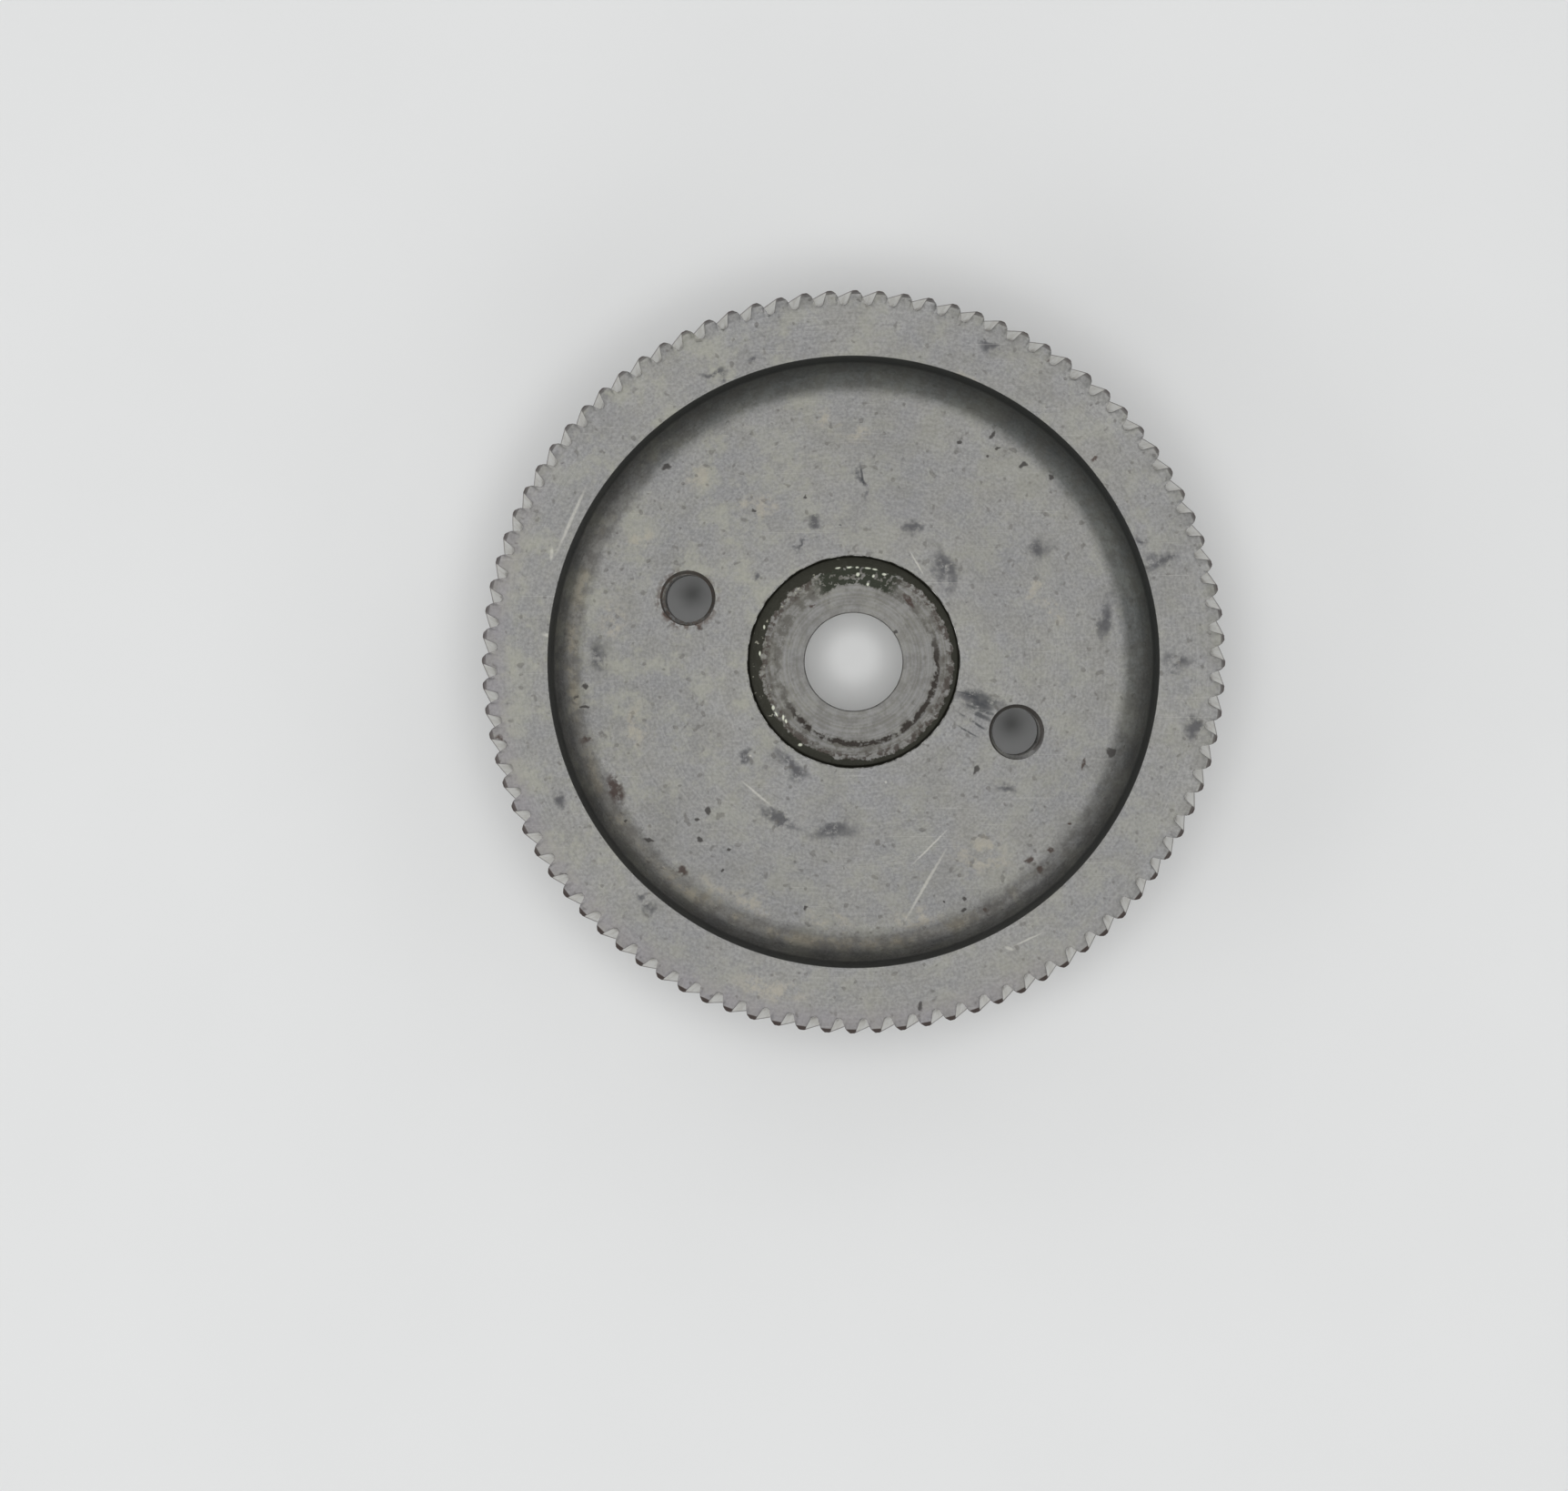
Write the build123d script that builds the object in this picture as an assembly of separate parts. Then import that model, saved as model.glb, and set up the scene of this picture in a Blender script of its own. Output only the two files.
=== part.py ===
from build123d import *
import os
from math import acos, atan, cos, degrees, hypot, pi, radians, sin, tan

# Magneto drive gear of a vintage engine, one piece of turned and hobbed steel, in millimetres.
# Z is the bore axis, up towards the nut side, and Z = 0 is the end of the hub that the gear stands on.

# Teeth
teeth = 92
normal_module = 1.0
normal_pressure_angle = 20.0
helix_angle = 21.4  # left-hand
addendum = 1.0 * normal_module
dedendum = 1.05 * normal_module
tooth_share = 0.54  # of the pitch, measured along the pitch circle
first_tooth_angle = -0.416  # middle of a tooth from +X, on the front face
corner_chamfer = 0.5  # turned on both outer corners of the blank before the teeth were cut

# Rim, web and hub
face_width = 15.0
recess_radius = 41.4
recess_depth = 9.0
recess_corner = 5.0
recess_corner_flats = 6
hub_radius = 16.0
hub_stand_out = 6.0
hub_chamfer = 0.6
edge_break = 0.15

# Nut seat and tapered bore, one in five on the diameter
seat_radius = 14.8
seat_depth = 3.0
bore_radius_at_seat = 6.9
bore_taper = 1 / 5

# Two tapped holes for a puller, hand-spaced, so not quite opposite each other
puller_hole_radius = 3.32
puller_hole_chamfer = 0.55
puller_hole_back_chamfer = 0.3
puller_circle_radius = 24.77
puller_angles = (159.0, -23.3)

height = hub_stand_out + face_width
web_top = height - recess_depth
seat_height = web_top - seat_depth
bore_radius_at_back = bore_radius_at_seat + bore_taper * seat_height / 2

transverse_module = normal_module / cos(radians(helix_angle))
pitch_radius = teeth * transverse_module / 2
tip_radius = pitch_radius + addendum
root_radius = pitch_radius - dedendum
pressure_angle = atan(tan(radians(normal_pressure_angle)) / cos(radians(helix_angle)))
base_radius = pitch_radius * cos(pressure_angle)


def involute(angle):
    return tan(angle) - angle


def half_tooth_angle(radius):
    """Angle from a tooth's middle to its flank at a radius, in radians."""
    at_pitch = tooth_share * pi / teeth
    return at_pitch + involute(pressure_angle) - involute(acos(base_radius / radius))


def at(radius, angle):
    return (radius * cos(angle), radius * sin(angle))


def root_start():
    """Radius at which one round root joins both flanks of a gap smoothly."""
    radius = root_radius
    for _ in range(20):
        half_gap = radius * (pi / teeth - half_tooth_angle(radius))
        flank_slope = acos(base_radius / radius) - pi / teeth
        radius = root_radius + half_gap * tan((pi / 2 - flank_slope) / 2)
    return radius


def root_corner(start_radius):
    """Polar place, from a gap's middle, of the corner between two of the three flats that follow the round root."""
    half_angle = pi / teeth - half_tooth_angle(start_radius)
    half_width = start_radius * sin(half_angle)
    rise = start_radius * cos(half_angle) - root_radius
    root_round = (half_width**2 + rise**2) / (2 * rise)
    third = 2 * atan(rise / half_width) / 3
    across = root_round * sin(third)
    out = root_radius + root_round * (1 - cos(third))
    return hypot(across, out), atan(across / out)


def tooth_outline():
    """Closed outline of all the teeth across the axis, their tips left long for the blank to trim.

    A flank is straight between two points of its involute, which curves by only 0.03 mm over so small a tooth.
    """
    start_radius = root_start()
    corner_radius, corner_angle = root_corner(start_radius)
    long_tip_radius = tip_radius + 0.4
    corners = []
    for tooth in range(teeth):
        middle = radians(first_tooth_angle) + 2 * pi * tooth / teeth
        gap = middle + pi / teeth
        corners += [
            at(start_radius, middle - half_tooth_angle(start_radius)),
            at(long_tip_radius, middle - half_tooth_angle(long_tip_radius)),
            at(long_tip_radius, middle + half_tooth_angle(long_tip_radius)),
            at(start_radius, middle + half_tooth_angle(start_radius)),
            at(corner_radius, gap - corner_angle),
            at(corner_radius, gap + corner_angle),
        ]
    return Wire.make_polygon(corners)


def round_recess_corner():
    """Points of the recess's inner corner, its round cut as narrow flats from the wall down to the web."""
    points = []
    for step in range(recess_corner_flats + 1):
        angle = radians(-90 * step / recess_corner_flats)
        out = recess_radius - recess_corner * (1 - cos(angle))
        up = web_top + recess_corner * (1 + sin(angle))
        points.append((out, up))
    return points


def turned_blank():
    """Rim, web, hub, nut seat and tapered bore as one turned solid."""
    bore_back = (bore_radius_at_back, 0)
    hub_edge = (hub_radius, 0)
    hub_root = (hub_radius, hub_stand_out)
    rim_back = (tip_radius, hub_stand_out)
    rim_front = (tip_radius, height)
    recess_edge = (recess_radius, height)
    seat_edge = (seat_radius, web_top)
    seat_root = (seat_radius, seat_height)
    bore_front = (bore_radius_at_seat, seat_height)
    outline = (
        bore_back, hub_edge, hub_root, rim_back, rim_front,
        recess_edge, *round_recess_corner(), seat_edge, seat_root, bore_front,
    )

    with BuildSketch(Plane.XZ) as section:
        with BuildLine():
            Polyline(*outline, close=True)
        make_face()

        def corner(point):
            return section.vertices().sort_by_distance(Vector(point[0], point[1]))[0]

        chamfer(corner(rim_back), corner_chamfer)
        chamfer(corner(rim_front), corner_chamfer)
        chamfer(corner(hub_edge), hub_chamfer)
        chamfer(corner(recess_edge), edge_break)
        chamfer(corner(seat_edge), edge_break)
    return revolve(section.sketch, Axis.Z)


def twisted_teeth():
    """The outline carried up the axis along a left-hand helix, past both faces of the blank.

    Neighbouring outlines are turned by less than half a tooth, so the loft joins each tooth to itself.
    """
    lowest = -1.8
    rise = 3.4
    outlines = 8
    turn_per_mm = degrees(tan(radians(helix_angle)) / pitch_radius)
    outline = tooth_outline()
    levels = [lowest + rise * index for index in range(outlines)]
    sections = [Pos(0, 0, z) * Rot(0, 0, turn_per_mm * (height - z)) * outline for z in levels]
    return Solid.make_loft(sections)


def puller_hole():
    """Tapping-size hole through the web with a countersink at each end, cut at the origin."""
    front = puller_hole_radius + puller_hole_chamfer
    back = puller_hole_radius + puller_hole_back_chamfer
    outline = (
        (0, hub_stand_out),
        (back, hub_stand_out),
        (puller_hole_radius, hub_stand_out + puller_hole_back_chamfer),
        (puller_hole_radius, web_top - puller_hole_chamfer),
        (front, web_top),
        (0, web_top),
    )
    section = Plane.XZ * Polygon(*outline, align=None)
    return revolve(section, Axis.Z)


def magneto_pinion():
    gear = turned_blank() & twisted_teeth()
    for angle in puller_angles:
        x, y = at(puller_circle_radius, radians(angle))
        gear -= Pos(x, y, 0) * puller_hole()
    return gear


part = magneto_pinion()
print("pitch radius", round(pitch_radius, 3), "tip radius", round(tip_radius, 3))
print("bore radius at the back", round(bore_radius_at_back, 3), "solids", len(part.solids()))
os.makedirs("parts", exist_ok=True)
export_step(part, "parts/magneto_pinion.step")
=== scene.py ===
import bmesh
import bpy
from math import acos, atan, cos, pi, radians, sin, tan
from mathutils import Matrix, Vector


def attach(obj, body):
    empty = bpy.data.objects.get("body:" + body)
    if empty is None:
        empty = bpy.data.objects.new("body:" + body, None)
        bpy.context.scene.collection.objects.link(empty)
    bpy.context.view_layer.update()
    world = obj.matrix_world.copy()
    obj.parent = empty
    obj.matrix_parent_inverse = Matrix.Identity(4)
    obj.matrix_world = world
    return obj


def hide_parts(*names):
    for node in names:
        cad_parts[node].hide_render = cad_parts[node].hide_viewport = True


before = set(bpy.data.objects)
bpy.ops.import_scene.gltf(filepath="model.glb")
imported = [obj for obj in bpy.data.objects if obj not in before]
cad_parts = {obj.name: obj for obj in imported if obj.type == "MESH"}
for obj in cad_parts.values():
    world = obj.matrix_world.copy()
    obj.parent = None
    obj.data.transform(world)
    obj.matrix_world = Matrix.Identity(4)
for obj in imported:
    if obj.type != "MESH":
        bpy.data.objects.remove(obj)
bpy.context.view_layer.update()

# Magneto drive gear of a vintage engine, standing on its hub's end at Z = 0 with its nut side up

# Sizes are written in millimetres, and Blender takes them in metres
MM = 0.001

# Teeth, as in the part's own source
TEETH = 92
PITCH = 2 * pi / TEETH
FIRST_TOOTH = radians(-0.416)
HELIX = radians(21.4)
MODULE = 1.0 / cos(HELIX)
PRESSURE = atan(tan(radians(20.0)) / cos(HELIX))
PITCH_RADIUS = TEETH * MODULE / 2
BASE_RADIUS = PITCH_RADIUS * cos(PRESSURE)
TIP_RADIUS = PITCH_RADIUS + 1.0
ROOT_RADIUS = PITCH_RADIUS - 1.05
ROOT_START_RADIUS = 48.86
TOOTH_SHARE = 0.54
CORNER_CHAMFER = 0.5

# Tooth corners worn round along the flanks and at the chamfers
TIP_ROUND = 0.3
CHAMFER_ROUND = 0.2

# Turned shape, from the rim in to the bore and out along the back
RIM_FRONT = 21.0
RIM_BACK = 6.0
FACE_RADIUS = 47.7
RECESS_RADIUS = 41.4
RECESS_CORNER = 5.0
WEB_FRONT = 12.0
SEAT_RADIUS = 14.8
SEAT_FLOOR = 9.0
SEAT_CORNER = 0.3
WASHER_FLOOR = 8.95
GROOVE_FLOOR = 8.9
WASHER_GROOVE = [(11.9, SEAT_FLOOR), (11.65, GROOVE_FLOOR), (11.35, GROOVE_FLOOR), (11.2, WASHER_FLOOR)]
BORE_FRONT_RADIUS = 6.9
BORE_BACK_RADIUS = 7.8
BORE_ROUND = 0.2
EDGE_ROUND = 0.15
HUB_RADIUS = 16.0
HUB_CHAMFER = 0.6
HUB_FILLET = 0.5

# Puller holes, drilled 6.64 mm and tapped M8
HOLE_CIRCLE = 24.77
DRILL_RADIUS = 3.32
FRONT_COUNTERSINK = 0.55
BACK_COUNTERSINK = 0.3
THREAD_PITCH = 1.25
THREAD_TURNS = 6
THREAD_BOTTOM = 5.2


def half_tooth(radius):
    """Angle from a tooth's middle to its involute flank, in radians."""

    def involute(angle):
        return tan(angle) - angle

    return TOOTH_SHARE * pi / TEETH + involute(PRESSURE) - involute(acos(BASE_RADIUS / radius))


def pitch_outline(limit_radius, corner):
    """Polar points across one pitch, from one gap's middle to the next, with worn round tip corners."""

    def flank(radius):
        return (radius, half_tooth(radius))

    # The gap's floor is an arc that runs into the flank, drawn by three points
    half_gap = PITCH / 2 - half_tooth(ROOT_START_RADIUS)
    root_rise = ROOT_START_RADIUS - ROOT_RADIUS
    side = [(ROOT_RADIUS + root_rise * (1 - cos(turn)), PITCH / 2 - half_gap * sin(turn))
            for turn in (0.0, radians(32), radians(62))]

    # The tip's corner is rounded by two more points, placed by shares of the corner's size
    round_start = limit_radius - corner
    side += [
        flank(ROOT_START_RADIUS),
        flank((ROOT_START_RADIUS + round_start) / 2),
        flank(round_start),
        (limit_radius - 0.29 * corner, half_tooth(limit_radius) - 0.15 * corner / limit_radius),
        (limit_radius, half_tooth(limit_radius) - 0.8 * corner / limit_radius),
    ]
    right = [(radius, -angle) for radius, angle in side]
    return right + [(limit_radius, 0.0)] + side[::-1]


def arc(radius, height, size, start, end, steps):
    """Points of a round edge of the turned section, as radius and height."""
    angles = [radians(start + (end - start) * step / steps) for step in range(steps + 1)]
    return [(radius + size * cos(angle), height + size * sin(angle)) for angle in angles]


def turned_section():
    """Rim face, recess, web, nut seat, bore and back, from the front of the rim round to its back."""
    return [
        (FACE_RADIUS, RIM_FRONT),
        *arc(RECESS_RADIUS + EDGE_ROUND, RIM_FRONT - EDGE_ROUND, EDGE_ROUND, 90, 180, 3),
        *arc(RECESS_RADIUS - RECESS_CORNER, WEB_FRONT + RECESS_CORNER, RECESS_CORNER, 0, -90, 12),
        *arc(SEAT_RADIUS + EDGE_ROUND, WEB_FRONT - EDGE_ROUND, EDGE_ROUND, 90, 180, 3),
        *arc(SEAT_RADIUS - SEAT_CORNER, SEAT_FLOOR + SEAT_CORNER, SEAT_CORNER, 0, -90, 3),
        *WASHER_GROOVE,
        *arc(BORE_FRONT_RADIUS + BORE_ROUND, WASHER_FLOOR - BORE_ROUND, BORE_ROUND, 90, 180, 3),
        *arc(BORE_BACK_RADIUS + BORE_ROUND, BORE_ROUND, BORE_ROUND, 180, 270, 3),
        (HUB_RADIUS - HUB_CHAMFER, 0.0),
        (HUB_RADIUS, HUB_CHAMFER),
        *arc(HUB_RADIUS + HUB_FILLET, RIM_BACK - HUB_FILLET, HUB_FILLET, 180, 90, 3),
    ]


def sector_rows():
    """One pitch of the gear as rows of points across it, in the section's order and closed."""
    columns = len(pitch_outline(TIP_RADIUS, TIP_ROUND)) - 1
    start = FIRST_TOOTH - PITCH / 2

    def ring(radius, height, turn=0.0):
        return [(radius, start + turn + PITCH * column / columns, height) for column in range(columns + 1)]

    def turn_at(height):
        return tan(HELIX) * (RIM_FRONT - height) / PITCH_RADIUS

    def toothed(height, limit_radius, corner):
        middle = FIRST_TOOTH + turn_at(height)
        return [(radius, middle + angle, height) for radius, angle in pitch_outline(limit_radius, corner)]

    rows = [ring(radius, height) for radius, height in turned_section()]
    rows.append(ring(FACE_RADIUS, RIM_BACK, turn_at(RIM_BACK)))
    rows.append(toothed(RIM_BACK, TIP_RADIUS - CORNER_CHAMFER, CHAMFER_ROUND))
    lowest = RIM_BACK + CORNER_CHAMFER
    highest = RIM_FRONT - CORNER_CHAMFER
    steps = 7
    for step in range(steps + 1):
        rows.append(toothed(lowest + (highest - lowest) * step / steps, TIP_RADIUS, TIP_ROUND))
    rows.append(toothed(RIM_FRONT, TIP_RADIUS - CORNER_CHAMFER, CHAMFER_ROUND))
    rows.append(rows[0])
    return rows


def select_only(made, mode, wanted):
    """Selects in edit mode the vertices or edges that the test wants, and nothing else."""
    bpy.ops.mesh.select_mode(type=mode)
    bpy.ops.mesh.select_all(action="DESELECT")
    shape = bmesh.from_edit_mesh(made.data)
    for item in (shape.verts if mode == "VERT" else shape.edges):
        if wanted(item):
            item.select_set(True)
    bmesh.update_edit_mesh(made.data)


def finish_mesh(merge_mm):
    """Merges doubles and turns all the faces outwards, in edit mode."""
    bpy.ops.mesh.select_all(action="SELECT")
    bpy.ops.mesh.remove_doubles(threshold=merge_mm * MM)
    bpy.ops.mesh.normals_make_consistent(inside=False)


def toothed_gear():
    """A grid laid over one tooth pitch of the turned section, copied round the axis and merged."""
    rows = sector_rows()
    columns = len(rows[0])
    bpy.ops.object.select_all(action="DESELECT")
    bpy.ops.mesh.primitive_grid_add(
        x_subdivisions=columns - 1, y_subdivisions=len(rows) - 1, size=TIP_RADIUS * MM)
    made = bpy.context.object
    made.name = "gear_steel_body"
    for index, vertex in enumerate(made.data.vertices):
        radius, angle, height = rows[index // columns][index % columns]
        vertex.co = Vector((radius * cos(angle), radius * sin(angle), height)) * MM
    bpy.ops.object.mode_set(mode="EDIT")
    bpy.ops.mesh.select_all(action="SELECT")
    bpy.ops.mesh.spin(steps=TEETH, dupli=True, angle=2 * pi, use_auto_merge=False,
                      center=(0, 0, 0), axis=(0, 0, 1))
    finish_mesh(merge_mm=0.004)

    # The teeth's edges on both faces are rounded a little, as far in as the gaps go
    inside_gaps = 48.2
    face_edge_round = 0.1

    def on_face_edge(edge):
        levels = {round(vertex.co.z / MM, 2) for vertex in edge.verts}
        inmost = min(vertex.co.xy.length for vertex in edge.verts)
        return levels in ({RIM_FRONT}, {RIM_BACK}) and inmost > inside_gaps * MM

    select_only(made, "EDGE", on_face_edge)
    bpy.ops.mesh.bevel(offset=face_edge_round * MM, segments=2, affect="EDGES")

    # The tooth tips are worn uneven
    worn_depth = 0.62
    wear = 0.03
    select_only(made, "VERT", lambda vertex: vertex.co.xy.length > (TIP_RADIUS - worn_depth) * MM)
    bpy.ops.transform.vertex_random(offset=wear * MM, seed=4)
    bpy.ops.object.mode_set(mode="OBJECT")
    return made


def turned_cutter(name, section, steps):
    """A closed solid of revolution about Z, spun from a line of radius and height in millimetres."""
    bpy.ops.object.select_all(action="DESELECT")
    bpy.ops.mesh.primitive_grid_add(x_subdivisions=1, y_subdivisions=len(section) - 1, size=MM)
    made = bpy.context.object
    made.name = name

    # Of the grid's two columns one is kept, as the line to spin
    bpy.ops.object.mode_set(mode="EDIT")
    lowest = min(vertex.co.x for vertex in made.data.vertices)
    select_only(made, "VERT", lambda vertex: vertex.co.x > lowest + 0.1 * MM)
    bpy.ops.mesh.delete(type="VERT")
    bpy.ops.object.mode_set(mode="OBJECT")
    for vertex, (radius, height) in zip(made.data.vertices, section):
        vertex.co = Vector((radius, 0.0, height)) * MM
    bpy.ops.object.mode_set(mode="EDIT")
    bpy.ops.mesh.select_all(action="SELECT")
    bpy.ops.mesh.spin(steps=steps, angle=2 * pi, center=(0, 0, 0), axis=(0, 0, 1))
    finish_mesh(merge_mm=0.001)
    bpy.ops.object.mode_set(mode="OBJECT")
    return made


def thread_cutter(name, bottom):
    """An M8 thread ridge wound six times round a core, its two ends closed."""
    core, crest = 3.25, 3.86
    ridge = [(core, 0.0), (core, 0.12), (crest, 0.53), (crest, 0.72), (core, 1.13), (core, THREAD_PITCH)]
    bpy.ops.object.select_all(action="DESELECT")
    bpy.ops.mesh.primitive_circle_add(vertices=len(ridge), radius=MM, fill_type="NOTHING")
    made = bpy.context.object
    made.name = name
    for vertex, (radius, height) in zip(made.data.vertices, ridge):
        vertex.co = Vector((radius, 0.0, height + bottom)) * MM

    # The circle's edge along the core is cut out, which leaves the ridge's open profile
    bpy.ops.object.mode_set(mode="EDIT")
    ends = {round(bottom * MM, 6), round((bottom + THREAD_PITCH) * MM, 6)}
    select_only(made, "EDGE", lambda edge: {round(vertex.co.z, 6) for vertex in edge.verts} == ends)
    bpy.ops.mesh.delete(type="EDGE")
    bpy.ops.object.mode_set(mode="OBJECT")
    screw = made.modifiers.new("wind", "SCREW")
    screw.axis = "Z"
    screw.angle = 2 * pi
    screw.screw_offset = THREAD_PITCH * MM
    screw.iterations = THREAD_TURNS
    screw.steps = 48
    screw.render_steps = 48
    screw.use_merge_vertices = True
    screw.merge_threshold = 0.001 * MM
    bpy.ops.object.modifier_apply(modifier=screw.name)
    bpy.ops.object.mode_set(mode="EDIT")
    finish_mesh(merge_mm=0.001)

    # The ridge's end is a flat face, and the rest of the open end is then a plain spiral edge
    slack = 0.001

    def on_ridge_end(edge, low):
        return edge.is_boundary and all(
            abs(vertex.co.y) < slack * MM and vertex.co.x > 0
            and -slack < vertex.co.z / MM - low < THREAD_PITCH + slack for vertex in edge.verts)

    for low in (bottom, bottom + THREAD_TURNS * THREAD_PITCH):
        select_only(made, "EDGE", lambda edge: on_ridge_end(edge, low))
        bpy.ops.mesh.edge_face_add()
    select_only(made, "EDGE", lambda edge: edge.is_boundary)
    bpy.ops.mesh.fill_holes(sides=0)
    bpy.ops.mesh.select_all(action="SELECT")
    bpy.ops.mesh.normals_make_consistent(inside=False)
    bpy.ops.object.mode_set(mode="OBJECT")
    return made


def cut(made, cutter, places):
    """Cuts a piece by copies of a cutter at places in millimetres, and deletes the cutter."""
    for x, y in places:
        bpy.ops.object.select_all(action="DESELECT")
        copy = cutter.copy()
        copy.data = cutter.data.copy()
        copy.data.transform(Matrix.Translation((x * MM, y * MM, 0)))
        bpy.context.collection.objects.link(copy)
        bpy.context.view_layer.objects.active = made
        boolean = made.modifiers.new("cut", "BOOLEAN")
        boolean.operation = "DIFFERENCE"
        boolean.solver = "MANIFOLD"
        boolean.object = copy
        bpy.ops.object.modifier_apply(modifier=boolean.name)
        bpy.data.objects.remove(copy)
    bpy.data.objects.remove(cutter)


# Marks seen on the gear: x, y, half length, half width in millimetres, and the turn in degrees
DARK_SPECKS = [
    (19.3, 31.5, 0.64, 0.32, 60), (14.7, 30.7, 0.38, 0.25, 90), (18.7, 28.8, 0.25, 0.25, 0),
    (20.1, 29.9, 0.38, 0.25, 0), (23.6, 27.5, 0.64, 0.38, 20), (27.6, 25.8, 0.32, 0.25, 0),
    (-6.8, 23.0, 0.25, 0.25, 0), (-13.9, 21.2, 0.32, 0.19, 0), (-26.1, 27.1, 0.51, 0.38, 0),
    (-37.5, -3.4, 0.38, 0.38, 0), (-38.7, -4.9, 0.38, 0.25, 30), (-37.5, -6.2, 0.64, 0.25, 0),
    (-31.7, -22.2, 0.25, 0.25, 0), (-28.5, -24.9, 0.89, 0.25, -10), (-20.3, -20.8, 0.38, 0.51, 0),
    (-21.9, -22.0, 0.51, 0.25, 0), (-21.5, -24.7, 0.38, 0.25, 0), (-17.3, -26.2, 0.25, 0.25, 0),
    (-18.4, -29.2, 0.25, 0.25, 0), (-6.7, -34.4, 0.25, 0.25, 0), (9.1, -46.8, 0.25, 0.62, 0),
    (35.9, -12.7, 0.51, 0.64, 0), (15.3, -33.1, 0.32, 0.25, 0), (15.4, -34.6, 0.38, 0.25, 0),
    (12.6, -33.6, 0.25, 0.25, 0), (17.1, -15.1, 0.76, 0.38, 60), (33.6, -22.0, 0.25, 0.25, 0),
    (5.75, 4.2, 0.5, 0.3, 45),
]
RUST_SPOTS = [
    (-37.3, -10.9, 0.89, 0.38, 8), (-33.2, -17.8, 1.02, 2.03, 20), (-24.0, -29.2, 0.76, 0.64, 0),
    (18.4, -34.5, 0.38, 0.38, 0), (24.5, -27.7, 0.64, 0.38, 30), (26.0, -28.9, 0.51, 0.38, 0),
    (27.5, -26.2, 0.51, 0.38, 0), (30.2, -22.5, 0.25, 0.25, 0), (32.1, -14.2, 0.25, 0.76, -15),
    (-5.8, 7.9, 0.38, 0.25, 0), (-22.0, 5.0, 0.89, 0.38, -20), (-26.1, 6.6, 0.38, 0.38, 0),
    (32.6, 27.5, 0.62, 0.25, 40), (7.8, 8.6, 1.14, 0.38, -50), (-48.0, -10.6, 0.62, 0.62, 0),
    (26.8, 41.1, 0.62, 0.37, 0),
]
BROWN_PATCHES = [
    (-4.1, 33.4, 1.52, 1.02, 0), (0.2, 31.6, 2.54, 1.14, -10), (-29.5, 17.4, 1.4, 1.27, 30),
    (-33.6, 5.9, 1.78, 2.8, 0), (-13.3, 22.1, 2.29, 1.27, 0), (-21.5, 25.8, 1.78, 1.52, 0),
    (-20.1, -31.7, 2.8, 1.27, -30), (-15.1, -33.5, 2.8, 1.14, -20), (18.0, -27.1, 3.81, 2.8, 0),
    (27.8, 7.5, 2.03, 1.02, -40), (25.5, 10.8, 0.64, 1.78, -20), (-3.6, -36.3, 3.3, 0.76, -12),
    (-11.0, -44.1, 4.93, 1.72, -15), (9.1, -36.0, 3.81, 1.52, 0), (15.0, 37.9, 2.71, 0.99, -20),
    (-30.3, -9.4, 1.27, 2.8, 0),
]
GREY_SMEARS = [
    (-5.7, 19.6, 1.14, 0.64, 10), (-2.5, 19.2, 0.51, 0.25, 0), (1.2, 24.5, 0.38, 2.54, 12),
    (-7.7, 16.5, 1.78, 0.25, 28), (-13.5, 12.1, 0.51, 0.51, 0), (8.2, 18.7, 1.27, 0.76, 0),
    (12.6, 13.2, 1.27, 2.8, 20), (-18.8, 38.9, 1.48, 0.49, 15), (-12.9, 40.8, 1.23, 0.37, 10),
    (18.8, 42.5, 1.48, 0.62, 0), (39.5, 16.7, 1.11, 0.74, 0), (42.1, 13.8, 2.71, 0.86, 20),
    (43.8, 0.2, 1.72, 1.23, 0), (45.9, -9.2, 0.99, 1.72, 0), (-40.3, -18.5, 0.86, 1.48, 0),
    (-3.2, -23.4, 3.3, 0.89, 12), (-10.6, -22.0, 3.3, 0.64, -25), (-8.6, -14.6, 2.54, 1.02, -35),
    (-14.7, -13.0, 0.89, 0.89, 0), (20.6, -17.7, 1.27, 0.64, 0), (-28.5, -31.8, 0.62, 0.62, 0),
    (-27.3, -33.3, 0.74, 0.74, 0), (26.0, 16.0, 1.78, 1.02, 0), (35.4, 5.9, 1.02, 3.3, -8),
    (-35.4, 0.8, 1.27, 2.54, 0), (20.5, -33.4, 2.54, 1.14, 25), (17.7, -5.7, 3.3, 0.76, -14),
]
DARK_STREAKS = [
    (17.6, -4.9, 2.5, 0.85, -20), (17.7, -6.1, 2.0, 0.6, -24), (17.4, -7.3, 2.4, 0.4, -28),
    (16.7, -8.4, 2.8, 0.19, -33), (17.7, -6.7, 2.8, 0.32, -20), (15.9, -9.7, 1.78, 0.13, -30),
    (16.2, -4.6, 2.29, 0.13, -15), (1.2, 26.0, 0.19, 1.78, 10),
]
BRIGHT_SCRATCHES = [
    (-13.5, -18.4, 2.8, 0.19, -40), (10.6, -25.9, 3.56, 0.15, 45), (10.1, -31.0, 5.84, 0.23, 60),
    (23.6, -37.6, 2.22, 0.15, 25), (21.1, -38.8, 0.62, 0.25, -20), (-38.2, 19.3, 4.93, 0.25, 66),
    (-40.9, 14.6, 0.99, 0.25, 85), (8.8, 13.8, 2.03, 0.13, -60), (-41.4, 3.6, 0.74, 0.25, 0),
    (4.5, -16.8, 0.19, 0.19, 0), (-14.4, -13.1, 0.19, 0.19, 0),
]
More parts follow.
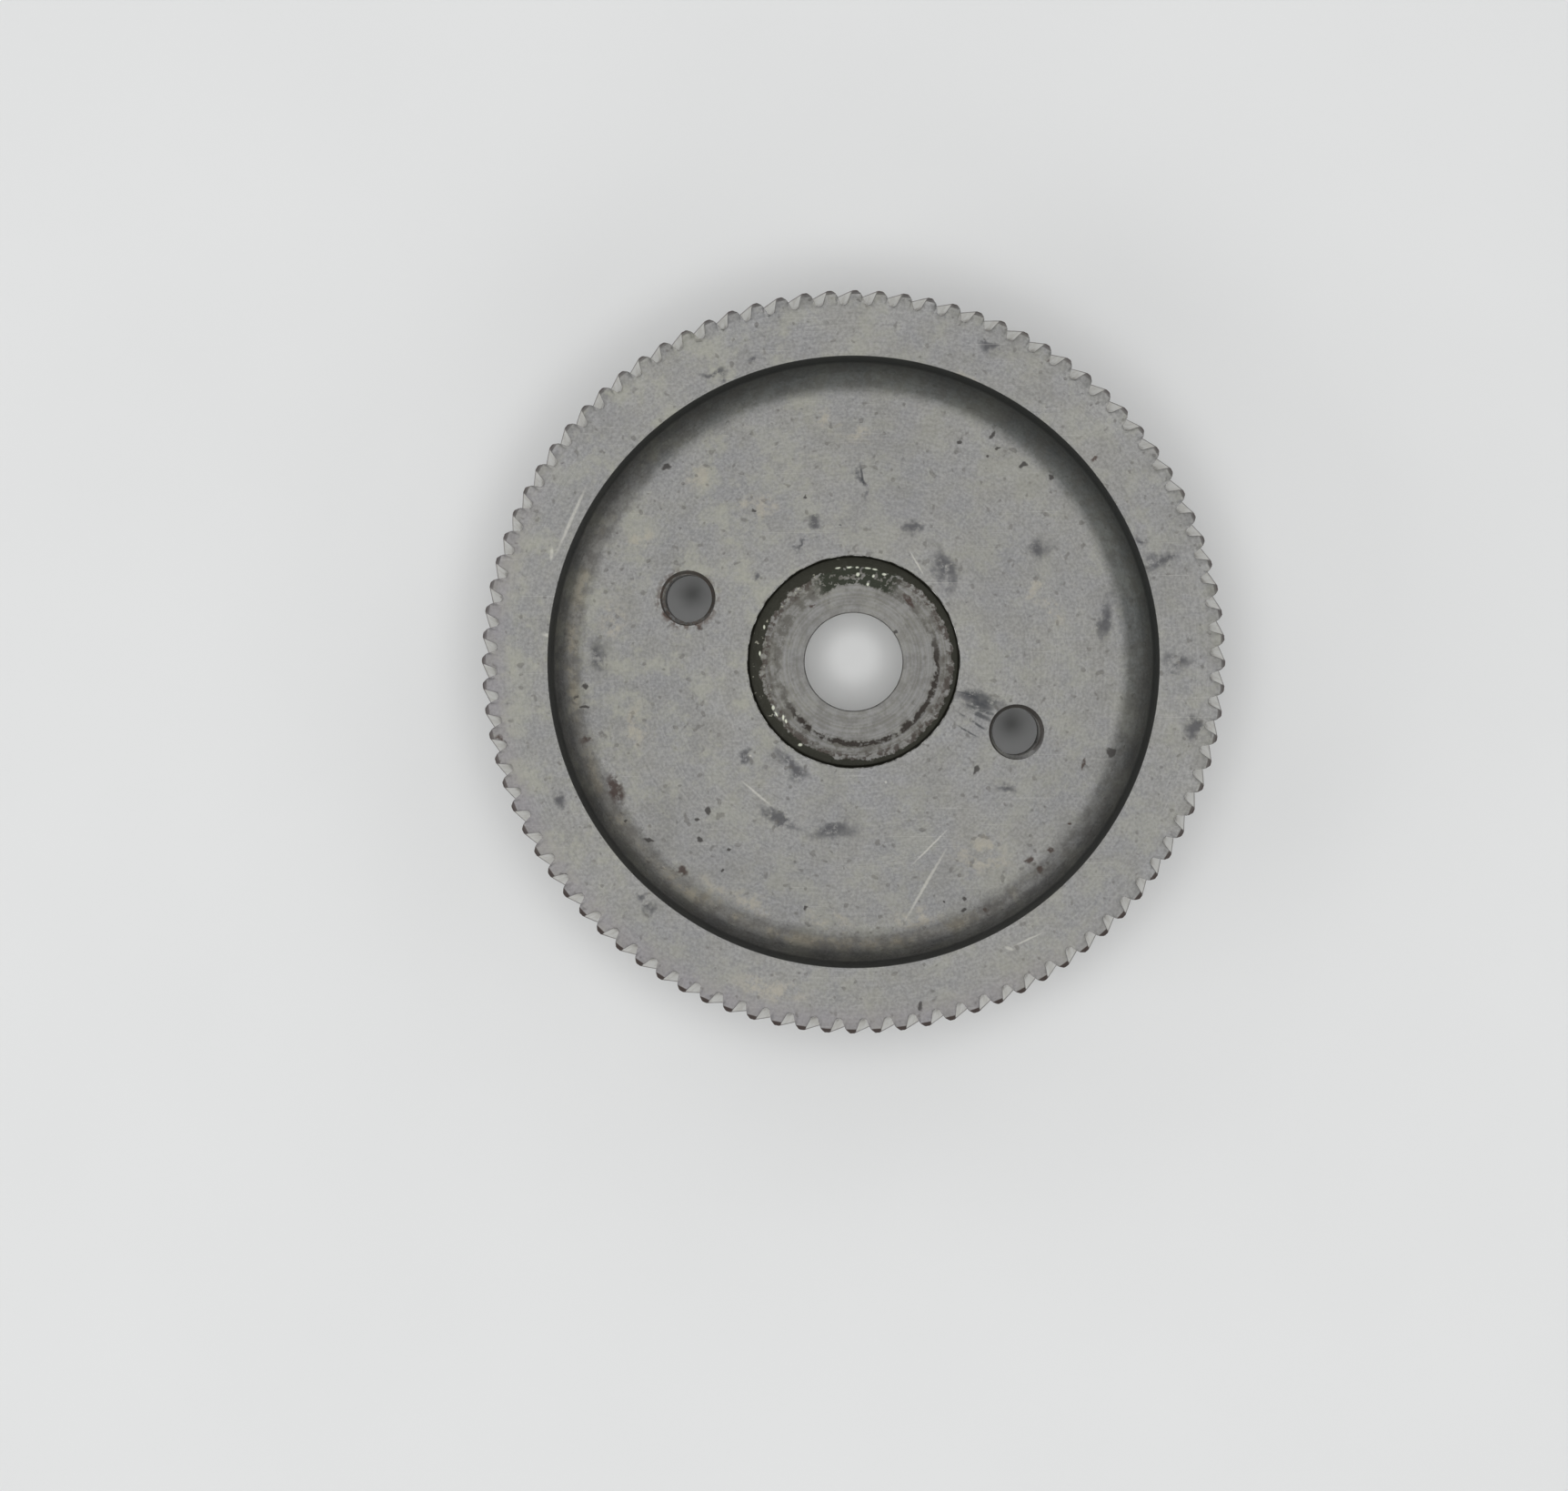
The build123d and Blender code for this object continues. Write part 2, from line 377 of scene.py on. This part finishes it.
# Painted highlights: glints on the grease in the nut seat
PAINTED_GREASE_GLINTS = [
    (-2.2, 13.2, 0.38, 0.12, 8), (-0.6, 13.3, 0.38, 0.13, 8), (0.5, 13.3, 0.25, 0.12, 0),
    (2.0, 13.2, 0.45, 0.11, -8), (3.0, 13.0, 0.38, 0.11, -8), (0.6, 12.3, 0.25, 0.25, 0),
    (2.8, 12.1, 0.2, 0.2, 0), (4.3, 12.3, 0.3, 0.15, -8), (2.0, 10.9, 0.2, 0.2, 0),
    (-11.3, -6.5, 0.2, 0.32, 0), (-10.9, -7.4, 0.4, 0.13, -60), (-9.9, -7.9, 0.14, 0.4, 0),
    (-9.5, -8.4, 0.14, 0.3, 0), (-7.5, -11.7, 0.3, 0.2, 0), (-13.2, 1.2, 0.14, 0.3, 0),
    (-12.6, 4.9, 0.14, 0.3, 0),
]

# Puller holes, not quite opposite each other, as marks of 1 mm so that their distance is in millimetres
PULLER_HOLES = [
    (HOLE_CIRCLE * cos(radians(angle)), HOLE_CIRCLE * sin(radians(angle)), 1, 1, 0)
    for angle in (159.0, -23.3)
]

# A band rises smoothly from 0 at its first value to 1 at its second, or falls if the second is the lower
BANDS = {
    "cloudy": ("clouds", 0.36, 0.64), "blotchy": ("blotches", 0.36, 0.64), "filmed": ("film", 0.47, 0.63),
    "cool": ("film", 0.45, 0.3), "patchy": ("dirt", 0.42, 0.6), "broken": ("dirt", 0.36, 0.5),
    "grainy": ("grain", 0.3, 0.7), "pitted": ("pits", 0.66, 0.74), "flecked": ("flecks", 0.47, 0.55),
    "clotted": ("flecks", 0.4, 0.48), "beaded": ("flecks", 0.34, 0.28), "ringed": ("rings", 0.3, 0.7),
    "scratched": ("scratches", 0.68, 0.76), "on_front": ("height", 8.7, 8.9),
    "facing_up": ("up", 0.7, 0.9), "tilted": ("up", 0.85, 0.75), "steep": ("up", 0.62, 0.5),
    "above_web": ("height", 11.9, 12.1), "below_web": ("height", 12.05, 11.95),
    "near_wall": ("radius", 36.6, 39.2),
    "in_recess": ("radius", 41.5, 41.42), "on_wall": ("radius", 41.1, 41.35),
    "top_right": ("to_upper_right", -0.3, 0.8), "at_top": ("to_top", 0.84, 0.93),
    "upper_left": ("to_upper_left", 0.1, 0.8), "at_bottom": ("to_bottom", -0.2, 0.75),
    "lower_right": ("to_lower_right", -0.1, 0.45), "lower_left": ("to_lower_left", -0.1, 0.6),
    "near_corner": ("radius", 38.0, 39.4), "off_wall": ("radius", 40.6, 39.2),
    "outer_rim": ("radius", 46.0, 49.0), "past_grease": ("wavy_radius", 13.45, 13.65),
    "past_crust": ("wavy_radius", 12.1, 13.1), "in_seat": ("radius", 14.9, 14.84),
    "past_groove": ("wavy_radius", 10.9, 11.15), "in_groove": ("wavy_radius", 11.85, 11.6),
    "past_top_arc": ("wavy_radius", 10.9, 11.2), "past_washer": ("wavy_radius", 10.6, 11.1),
    "in_bore": ("radius", 7.95, 7.8), "in_bore_height": ("height", 8.75, 8.6),
    "on_seat_edge": ("height", 11.8, 11.84), "by_seat_edge": ("radius", 15.05, 15.0),
    "on_teeth": ("radius", 48.25, 48.45), "at_tips": ("radius", 50.05, 50.25),
    "near_root": ("radius", 49.1, 48.4), "by_puller": ("puller", 3.98, 3.88),
    "round_puller": ("puller", 4.9, 3.9), "is_speck": ("speck", 1.25, 0.7), "is_rust": ("rust", 1.35, 0.6),
    "is_patch": ("patch", 1.5, 0.3), "is_smear": ("smear", 1.5, 0.2), "is_streak": ("streak", 1.3, 0.4),
    "is_scratch": ("scratch", 1.3, 0.4), "is_glint": ("glint", 1.3, 0.6), "on_back": ("height", 6.3, 6.0),
    "on_chamfer": ("radius_and_height", 70.72, 70.84),
}

# The bare steel's lighter and darker tones: the band between them, darker, lighter, and their share
STEEL_TONES = [
    ("cloudy", "#727377", "#8c8b85", 0.55), ("blotchy", "#68696c", "#94938d", 0.45),
    ("grainy", "#666664", "#989795", 0.4), ("ringed", "#757574", "#8a8a88", 0.2),
]

# Each finish lies over those before it: strength, the bands that bound it, colour, roughness and metallic
FINISHES = [
    # Brown film, cool smudges and wear over the whole front
    (0.3, ("filmed", "on_front"), "#8f8f83", 0.5, 0.9),
    (0.3, ("filmed", "blotchy", "upper_left", "on_front"), "#9f9f91", 0.5, 0.85),
    (0.25, ("cool", "on_front"), "#757579", 0.45, 0.95),
    (0.55, ("is_patch", "patchy", "facing_up", "on_front"), "#9d988a", 0.5, 0.85),
    (0.85, ("is_smear", "broken", "facing_up", "on_front"), "#48484b", 0.5, 0.8),
    (0.35, ("outer_rim", "lower_left", "on_front"), "#7a757a", 0.45, 0.95),
    (0.35, ("pitted", "on_front"), "#504c47", 0.6, 0.5),
    (0.2, ("scratched", "facing_up", "on_front"), "#b4b3ae", 0.35, 1.0),
    # Oil, dirt and painted light and shade in the recess's corner
    # Painted light: the corner is lighter at the lower left, partly beige film
    (0.4, ("near_corner", "off_wall", "lower_left", "on_front"), "#9d9a92", 0.5, 0.95),
    (0.5, ("near_corner", "off_wall", "lower_left", "filmed"), "#aaa18d", 0.5, 0.9),
    # Painted shade: the corner is darker at the top right, partly greenish grease
    (0.6, ("near_wall", "in_recess", "above_web", "top_right"), "#3a403d", 0.5, 0.6),
    # Painted shade: the corner is darker all round near the wall, partly dirt
    (0.35, ("near_wall", "in_recess", "above_web", "patchy"), "#4a4640", 0.6, 0.6),
    # Painted shade: the recess wall is painted nearly black
    (0.8, ("on_wall", "in_recess", "above_web"), "#212422", 0.6, 0.4),
    # Nut seat: painted shade over the whole seat, washer print, rusty groove, crust, grease with painted
    # glints, and the seat's painted bright edge
    # Painted shade: the whole nut seat is darkened
    (0.52, ("in_seat", "below_web"), "#64635d", 0.45, 0.9),
    (0.2, ("in_seat", "ringed", "below_web"), "#94949a", 0.4, 1.0),
    (0.3, ("in_seat", "patchy", "below_web"), "#55534e", 0.5, 0.9),
    (0.15, ("past_washer", "in_seat", "below_web"), "#5a5850", 0.5, 0.8),
    (0.5, ("past_washer", "in_seat", "below_web", "patchy"), "#4c4943", 0.5, 0.7),
    (0.92, ("past_groove", "in_groove", "lower_right", "broken", "below_web"), "#241c15", 0.6, 0.4),
    (0.8, ("past_crust", "in_seat", "flecked", "below_web"), "#33271d", 0.5, 0.1),
    (0.95, ("past_top_arc", "in_seat", "at_top", "clotted", "below_web"), "#1c2113", 0.4, 0.6),
    (0.97, ("past_grease", "in_seat", "below_web"), "#1c1c10", 0.4, 0.6),
    (0.5, ("past_crust", "in_seat", "beaded", "upper_left", "below_web"), "#a5a394", 0.3, 0.4),
    # Painted highlight: glints on the grease
    (0.6, ("is_glint", "in_seat", "below_web"), "#dfe3d0", 0.3, 0.3),
    # Painted highlight: the seat's chamfered edge is painted bright
    (0.9, ("by_seat_edge", "on_seat_edge", "tilted", "patchy"), "#f4f4f0", 0.3, 0.2),
    # Bore, still bright where the shaft's cone sat
    (0.95, ("in_bore", "in_bore_height"), "#f0efec", 0.2, 1.0),
    # Marks placed where the real gear has them
    (0.75, ("is_streak", "broken", "facing_up", "on_front"), "#303235", 0.45, 0.6),
    (0.3, ("is_scratch", "facing_up", "on_front"), "#c9c7bd", 0.4, 0.95),
    (0.85, ("is_speck", "facing_up", "on_front"), "#2f2b28", 0.6, 0.1),
    (0.8, ("is_rust", "broken", "facing_up", "on_front"), "#3f2b22", 0.8, 0.0),
    # Puller holes, darker inside and rusty round the edge
    (0.8, ("by_puller", "tilted", "below_web"), "#3f3a35", 0.5, 0.5),
    (0.9, ("by_puller", "steep", "below_web"), "#57534d", 0.5, 0.5),
    (0.6, ("round_puller", "flecked", "lower_left", "on_front"), "#4c3a2e", 0.7, 0.2),
    # Teeth: bright flanks, dirt and painted shade in the roots, darker tips and chamfers, and painted shade
    # on the chamfer at the bottom
    (0.95, ("on_teeth", "steep"), "#cfceca", 0.28, 1.0),
    (0.3, ("on_teeth", "steep", "patchy"), "#a39d90", 0.4, 0.9),
    # Painted shade near the roots, partly dirt
    (0.35, ("on_teeth", "near_root", "steep"), "#5c554c", 0.5, 0.7),
    (0.4, ("on_teeth", "near_root", "steep", "patchy"), "#3d342c", 0.6, 0.5),
    (0.8, ("at_tips",), "#4a403d", 0.5, 0.6),
    (0.3, ("on_chamfer",), "#6b6463", 0.5, 0.6),
    # Painted shade: the chamfer is darker towards the bottom
    (0.9, ("on_chamfer", "at_bottom"), "#33251f", 0.55, 0.3),
    # Back, dulled all over and stained
    (0.5, ("on_back",), "#92918c", 0.55, 0.8),
    (0.35, ("on_back", "filmed"), "#7d7a70", 0.5, 0.8),
    (0.4, ("on_back", "cool", "patchy"), "#5a5a5c", 0.5, 0.8),
]


def linear(hex_colour):
    """An sRGB hex colour as the linear RGBA that shaders and lamps take."""
    channels = [int(hex_colour[index:index + 2], 16) / 255 for index in (1, 3, 5)]
    return [value / 12.92 if value <= 0.04045 else ((value + 0.055) / 1.055) ** 2.4
            for value in channels] + [1.0]


def add(tree, kind, inputs=None, output=0, **settings):
    """Adds a node with its settings and its inputs, values or sockets, and returns one of its outputs."""
    node = tree.nodes.new(kind)
    for name, value in settings.items():
        setattr(node, name, value)
    for name, value in (inputs or {}).items():
        if isinstance(value, bpy.types.NodeSocket):
            tree.links.new(value, node.inputs[name])
        else:
            node.inputs[name].default_value = value
    return node.outputs[output] if len(node.outputs) else None


def new_material(name):
    """A material whose node tree is still empty."""
    material = bpy.data.materials.new(name)
    material.use_nodes = True
    material.node_tree.nodes.clear()
    return material


def nearest_mark(tree, place, marks):
    """Distance to the nearest of some marks, in its own half sizes: 0 in its middle and 1 at its edge."""
    turned = {0: place}
    nearest = None
    for x, y, half_length, half_width, turn in marks:
        if turn not in turned:
            turned[turn] = add(tree, "ShaderNodeVectorRotate", {
                "Vector": place, "Angle": radians(-turn)}, rotation_type="Z_AXIS")
        cosine, sine = cos(radians(turn)), sin(radians(turn))
        along = x * cosine + y * sine
        across = y * cosine - x * sine
        offset = add(tree, "ShaderNodeVectorMath", {
            0: turned[turn],
            1: (1 / half_length, 1 / half_width, 0),
            2: (-along / half_length, -across / half_width, 0)}, operation="MULTIPLY_ADD")
        distance = add(tree, "ShaderNodeVectorMath", {0: offset}, "Value", operation="LENGTH")
        if nearest is not None:
            distance = add(tree, "ShaderNodeMath", {0: nearest, 1: distance}, operation="MINIMUM")
        nearest = distance
    return nearest


def steel_signals(tree):
    """What the finish depends on: place in millimetres, facing, noises of several sizes and the marks."""
    place = add(tree, "ShaderNodeTexCoord", output="Object")
    facing = add(tree, "ShaderNodeTexCoord", output="Normal")
    per_metre = 1000.0

    # The noises' common origin lies far off the gear, so that none of them has a middle on it
    in_mm = add(tree, "ShaderNodeMapping", {
        "Vector": place, "Location": (170, 310, 90), "Scale": (per_metre, per_metre, per_metre)})
    flat = add(tree, "ShaderNodeMapping", {"Vector": place, "Scale": (per_metre, per_metre, 0)})
    outward = add(tree, "ShaderNodeVectorMath", {0: flat}, operation="NORMALIZE")
    radius = add(tree, "ShaderNodeVectorMath", {0: flat}, "Value", operation="LENGTH")
    signal = {
        "radius": radius,
        "height": add(tree, "ShaderNodeMath", {
            0: add(tree, "ShaderNodeSeparateXYZ", {0: place}, "Z"), 1: per_metre}, operation="MULTIPLY"),
        "up": add(tree, "ShaderNodeSeparateXYZ", {0: facing}, "Z"),
    }
    signal["radius_and_height"] = add(tree, "ShaderNodeMath", {0: radius, 1: signal["height"]})

    # Directions across the gear, in degrees from its right
    for name, degrees in (
            ("to_upper_right", 58), ("to_top", 88), ("to_upper_left", 160), ("to_bottom", 268),
            ("to_lower_right", 295), ("to_lower_left", 228)):
        direction = (cos(radians(degrees)), sin(radians(degrees)), 0)
        signal[name] = add(tree, "ShaderNodeVectorMath", {
            0: outward, 1: direction}, "Value", operation="DOT_PRODUCT")

    # Name, grain size in millimetres, detail and roughness
    for name, size, detail, rough in (
            ("clouds", 13.0, 2, 0.5), ("blotches", 4.3, 3, 0.6), ("film", 5.3, 5, 0.7),
            ("dirt", 1.7, 4, 0.65), ("pits", 1.1, 1, 0.5), ("grain", 0.41, 2, 0.6),
            ("flecks", 0.73, 2, 0.6)):
        signal[name] = add(tree, "ShaderNodeTexNoise", {
            "Vector": in_mm, "Scale": 1 / size, "Detail": detail, "Roughness": rough})

    # Turning marks follow the radius alone, about 0.35 mm apart
    rings_per_mm = 2.8
    ring_place = add(tree, "ShaderNodeMath", {0: radius, 1: rings_per_mm}, operation="MULTIPLY")
    signal["rings"] = add(tree, "ShaderNodeTexNoise", {
        "W": ring_place, "Scale": 1.0, "Detail": 2}, noise_dimensions="1D")

    # The grease reaches further in at the upper left, and its edge wanders by about half a millimetre
    shift = (-0.45, 0.28, 0)
    off_centre = add(tree, "ShaderNodeVectorMath", {0: flat, 1: shift})
    off_centre_radius = add(tree, "ShaderNodeVectorMath", {0: off_centre}, "Value", operation="LENGTH")
    wander = add(tree, "ShaderNodeMath", {0: signal["dirt"], 1: 2.0, 2: -1.0}, operation="MULTIPLY_ADD")
    signal["wavy_radius"] = add(tree, "ShaderNodeMath", {0: off_centre_radius, 1: wander})

    # Fine scratches run at a slant
    slant, length, width = radians(38), 14, 0.15
    slanted = add(tree, "ShaderNodeMapping", {
        "Vector": flat, "Rotation": (0, 0, slant), "Scale": (1 / length, 1 / width, 1)})
    signal["scratches"] = add(tree, "ShaderNodeTexNoise", {"Vector": slanted, "Scale": 1.0, "Detail": 1})

    # Small marks are drawn on a finely ragged place and soft ones on a broadly ragged one
    fine_size, broad_size = 0.9, 2.6
    ragged = add(tree, "ShaderNodeTexNoise", {
        "Vector": in_mm, "Scale": 1 / fine_size, "Detail": 2}, "Color")
    broad = add(tree, "ShaderNodeTexNoise", {
        "Vector": in_mm, "Scale": 1 / broad_size, "Detail": 3}, "Color")
    places = {}
    for name, noise, size in (("straight", ragged, 0.2), ("near", ragged, 1.1), ("loose", broad, 4.5)):
        push = add(tree, "ShaderNodeVectorMath", {
            0: noise, 1: (size, size, 0), 2: (-size / 2, -size / 2, 0)}, operation="MULTIPLY_ADD")
        places[name] = add(tree, "ShaderNodeVectorMath", {0: push, 1: flat})
    for name, where, marks in (
            ("speck", "near", DARK_SPECKS), ("rust", "near", RUST_SPOTS), ("patch", "loose", BROWN_PATCHES),
            ("smear", "loose", GREY_SMEARS), ("streak", "straight", DARK_STREAKS),
            ("scratch", "straight", BRIGHT_SCRATCHES), ("glint", "straight", PAINTED_GREASE_GLINTS),
            ("puller", "straight", PULLER_HOLES)):
        signal[name] = nearest_mark(tree, places[where], marks)
    return signal


def steel():
    """Carbon steel, turned and hobbed, then dulled by years of oil: a soft grey sheen, brown film, specks.

    The teeth's flanks and the bore still run bright, and black grease and painted shade sit in the corners.
    """
    material = new_material("worn_turned_steel")
    tree = material.node_tree
    signal = steel_signals(tree)
    bands_made = {}

    def band(name):
        """A band's value, made when it is first asked for, so that few values are alive at once."""
        if name not in bands_made:
            source, nought, one = BANDS[name]
            bands_made[name] = add(tree, "ShaderNodeMapRange", {
                "Value": signal[source], "From Min": nought, "From Max": one},
                interpolation_type="SMOOTHSTEP")
        return bands_made[name]

    # Bare metal, its tone moved by noise of three sizes and by the turning marks
    tone = linear("#7f7f7d")
    for name, darker, lighter, share in STEEL_TONES:
        shade = add(tree, "ShaderNodeMixRGB", {0: band(name), 1: linear(darker), 2: linear(lighter)})
        tone = add(tree, "ShaderNodeMixRGB", {0: share, 1: tone, 2: shade})
    smoothest, rougher_by = 0.42, 0.14
    rough = add(tree, "ShaderNodeMath", {
        0: band("blotchy"), 1: rougher_by, 2: smoothest}, operation="MULTIPLY_ADD")
    metal = 1.0
    for strength, where, colour, roughness, metallic in FINISHES:
        mask = strength
        for name in where:
            mask = add(tree, "ShaderNodeMath", {0: mask, 1: band(name)}, operation="MULTIPLY")
        tone = add(tree, "ShaderNodeMixRGB", {0: mask, 1: tone, 2: linear(colour)})
        rough = add(tree, "ShaderNodeMix", {0: mask, 2: rough, 3: roughness})
        metal = add(tree, "ShaderNodeMix", {0: mask, 2: metal, 3: metallic})

    # Relief of grain, dirt and turning marks, and pits sunk into it, some hundredths of a millimetre deep
    relief = signal["rings"]
    for source, depth in ((signal["grain"], 0.5), (signal["dirt"], 0.8), (band("pitted"), -1.2)):
        relief = add(tree, "ShaderNodeMath", {0: source, 1: depth, 2: relief}, operation="MULTIPLY_ADD")
    relief_mm = 0.03
    bump = add(tree, "ShaderNodeBump", {"Height": relief, "Strength": 0.6, "Distance": relief_mm * MM})
    shader = add(tree, "ShaderNodeBsdfPrincipled", {
        "Base Color": tone, "Roughness": rough, "Metallic": metal, "Normal": bump})
    add(tree, "ShaderNodeOutputMaterial", {"Surface": shader})
    return material


def floor_finish():
    """Matt white laminate: a pale, faintly uneven white with no gloss."""
    material = new_material("matt_white_laminate")
    tree = material.node_tree
    place = add(tree, "ShaderNodeTexCoord", output="Object")
    patch_mm = 40
    uneven = add(tree, "ShaderNodeTexNoise", {"Vector": place, "Scale": 1 / (patch_mm * MM), "Detail": 3})
    tone = add(tree, "ShaderNodeMixRGB", {0: uneven, 1: linear("#dddede"), 2: linear("#e1e2e2")})
    shader = add(tree, "ShaderNodeBsdfPrincipled", {"Base Color": tone, "Roughness": 0.9})
    add(tree, "ShaderNodeOutputMaterial", {"Surface": shader})
    return material


def threaded_gear():
    """The toothed gear with its two puller holes drilled and tapped M8 through the web."""
    made = toothed_gear()
    places = [(x, y) for x, y, *_ in PULLER_HOLES]

    # The drill runs 1 mm past both faces, and countersinks them
    below, above = RIM_BACK - 1, WEB_FRONT + 1
    drill = [
        (0, below),
        (DRILL_RADIUS + BACK_COUNTERSINK, below),
        (DRILL_RADIUS + BACK_COUNTERSINK, RIM_BACK),
        (DRILL_RADIUS, RIM_BACK + BACK_COUNTERSINK),
        (DRILL_RADIUS, WEB_FRONT - FRONT_COUNTERSINK),
        (DRILL_RADIUS + FRONT_COUNTERSINK, WEB_FRONT),
        (DRILL_RADIUS + FRONT_COUNTERSINK, above),
        (0, above),
    ]
    cut(made, turned_cutter("puller_hole", drill, steps=64), places)
    cut(made, thread_cutter("puller_thread", THREAD_BOTTOM), places)
    bpy.ops.object.select_all(action="DESELECT")
    made.select_set(True)
    bpy.context.view_layer.objects.active = made
    bpy.ops.object.shade_smooth_by_angle(angle=radians(32))

    # The cuts leave an empty material slot, which goes before the steel comes
    made.data.materials.clear()
    made.data.materials.append(steel())
    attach(made, "root")
    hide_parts("magneto_pinion")


def soft_lamp(name, spot, shape, size, energy):
    """A wide lamp turned to the gear, its place and size in metres and its energy in watts."""
    bpy.ops.object.light_add(type="AREA", location=spot)
    lamp = bpy.context.object
    lamp.name = name
    lamp.data.shape = shape
    lamp.data.size = size
    lamp.data.energy = energy
    lamp.rotation_euler = (-spot).to_track_quat("-Z", "Y").to_euler()


def light_tent():
    """Floor, an even pale surround, a ring of soft lamps overhead and low panels all round."""
    bpy.ops.object.select_all(action="DESELECT")
    bpy.ops.mesh.primitive_plane_add(size=6.0, location=(0, 0, 0))
    floor = bpy.context.object
    floor.name = "floor"
    floor.data.materials.append(floor_finish())

    # The ring's middle lies a little below the gear's in the picture, as the shade in the holes shows
    lamps = 12
    ring_radius = 0.5
    centre = Vector((0.0, -0.1, 1.2))
    for index in range(lamps):
        angle = 2 * pi * index / lamps
        spot = centre + Vector((ring_radius * cos(angle), ring_radius * sin(angle), 0))
        soft_lamp(f"ring_lamp_{index + 1}", spot, shape="DISK", size=0.36, energy=0.775)

    # The low panels make the gear look alike from every side, and the strongest is at the left
    panel_distance = 1.15
    panel_height = 0.5
    for azimuth, energy in ((198, 2.4), (270, 1.4), (342, 1.2), (54, 1.2), (126, 1.4)):
        angle = radians(azimuth)
        spot = Vector((panel_distance * cos(angle), panel_distance * sin(angle), panel_height))
        soft_lamp(f"side_panel_{azimuth}", spot, shape="SQUARE", size=0.6, energy=energy)

    world = bpy.data.worlds.new("pale_room")
    world.use_nodes = True
    world.node_tree.nodes.clear()
    glow = add(world.node_tree, "ShaderNodeBackground", {"Color": linear("#ffffff"), "Strength": 0.33})
    add(world.node_tree, "ShaderNodeOutputWorld", {"Surface": glow})
    bpy.context.scene.world = world


def camera():
    """Straight above the bore, as far up as the photograph was taken from."""
    focal_px = 2400.0
    image_width_px = 1724
    axis_right_px = 76.5
    axis_up_px = 92.0
    above_rim = 295.6
    bpy.ops.object.camera_add(location=(0, 0, (RIM_FRONT + above_rim) * MM), rotation=(0, 0, 0))
    made = bpy.context.object
    made.name = "camera"
    made.data.sensor_width = 36.0
    made.data.lens = made.data.sensor_width * focal_px / image_width_px
    made.data.shift_x = -axis_right_px / image_width_px
    made.data.shift_y = -axis_up_px / image_width_px
    made.data.clip_start = 0.01
    bpy.context.scene.camera = made


threaded_gear()
light_tent()
camera()
bpy.context.scene.view_settings.view_transform = "Standard"
